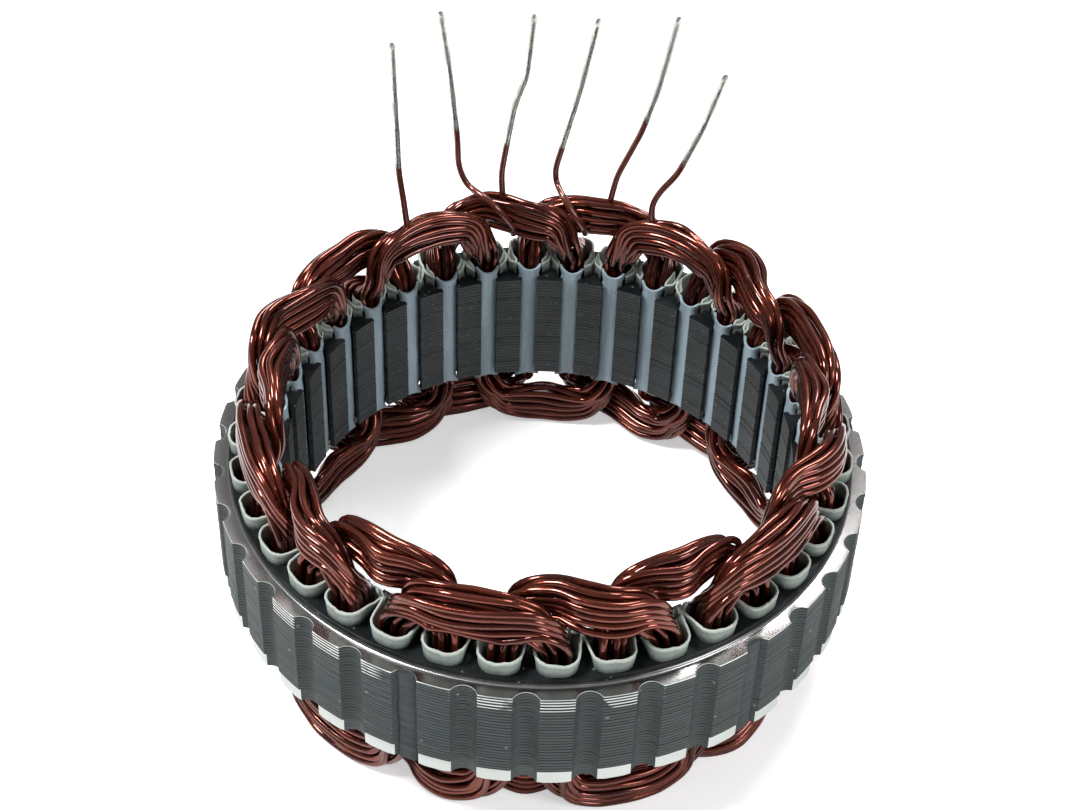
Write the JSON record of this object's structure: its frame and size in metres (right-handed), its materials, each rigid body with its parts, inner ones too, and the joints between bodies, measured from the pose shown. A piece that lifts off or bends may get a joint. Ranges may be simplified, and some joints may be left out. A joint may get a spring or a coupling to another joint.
{
  "type": "wound alternator stator",
  "caption": "Wound alternator stator: a seam-welded ring of slotted steel laminations, with paper-lined slots, copper wire windings and free phase leads.",
  "frame": {"origin": "on the bore axis, level with the lower winding crests that the stator rests on", "axes": "+Z along the bore axis towards the end with the phase leads; +Y towards the leads; a tooth is centred on +X"},
  "size_m": [0.128, 0.128, 0.1051],
  "materials": {
    "laminated_steel": "satin",
    "liner_paper": "matte",
    "slot_wedge": "matte",
    "enamelled_copper": "gloss",
    "tinned_wire": "satin"
  },
  "bodies": {
    "root": {"lamination_stack": "laminated_steel", "slot_liner_01": "liner_paper", "slot_liner_02": "liner_paper", "slot_liner_03": "liner_paper", "slot_liner_04": "liner_paper", "slot_liner_05": "liner_paper", "slot_liner_06": "liner_paper", "slot_liner_07": "liner_paper", "slot_liner_08": "liner_paper", "slot_liner_09": "liner_paper", "slot_liner_10": "liner_paper", "slot_liner_11": "liner_paper", "slot_liner_12": "liner_paper", "slot_liner_13": "liner_paper", "slot_liner_14": "liner_paper", "slot_liner_15": "liner_paper", "slot_liner_16": "liner_paper", "slot_liner_17": "liner_paper", "slot_liner_18": "liner_paper", "slot_liner_19": "liner_paper", "slot_liner_20": "liner_paper", "slot_liner_21": "liner_paper", "slot_liner_22": "liner_paper", "slot_liner_23": "liner_paper", "slot_liner_24": "liner_paper", "slot_liner_25": "liner_paper", "slot_liner_26": "liner_paper", "slot_liner_27": "liner_paper", "slot_liner_28": "liner_paper", "slot_liner_29": "liner_paper", "slot_liner_30": "liner_paper", "slot_liner_31": "liner_paper", "slot_liner_32": "liner_paper", "slot_liner_33": "liner_paper", "slot_liner_34": "liner_paper", "slot_liner_35": "liner_paper", "slot_liner_36": "liner_paper", "slot_wedges_a": "slot_wedge", "slot_wedges_b": "slot_wedge", "slot_wedges_c": "slot_wedge", "phase_a_winding": "enamelled_copper", "phase_b_winding": "enamelled_copper", "phase_c_winding": "enamelled_copper", "phase_a_lead_start": "tinned_wire", "phase_a_lead_end": "tinned_wire", "phase_b_lead_start": "tinned_wire", "phase_b_lead_end": "tinned_wire", "phase_c_lead_start": "tinned_wire", "phase_c_lead_end": "tinned_wire"}
  },
  "joints": []
}
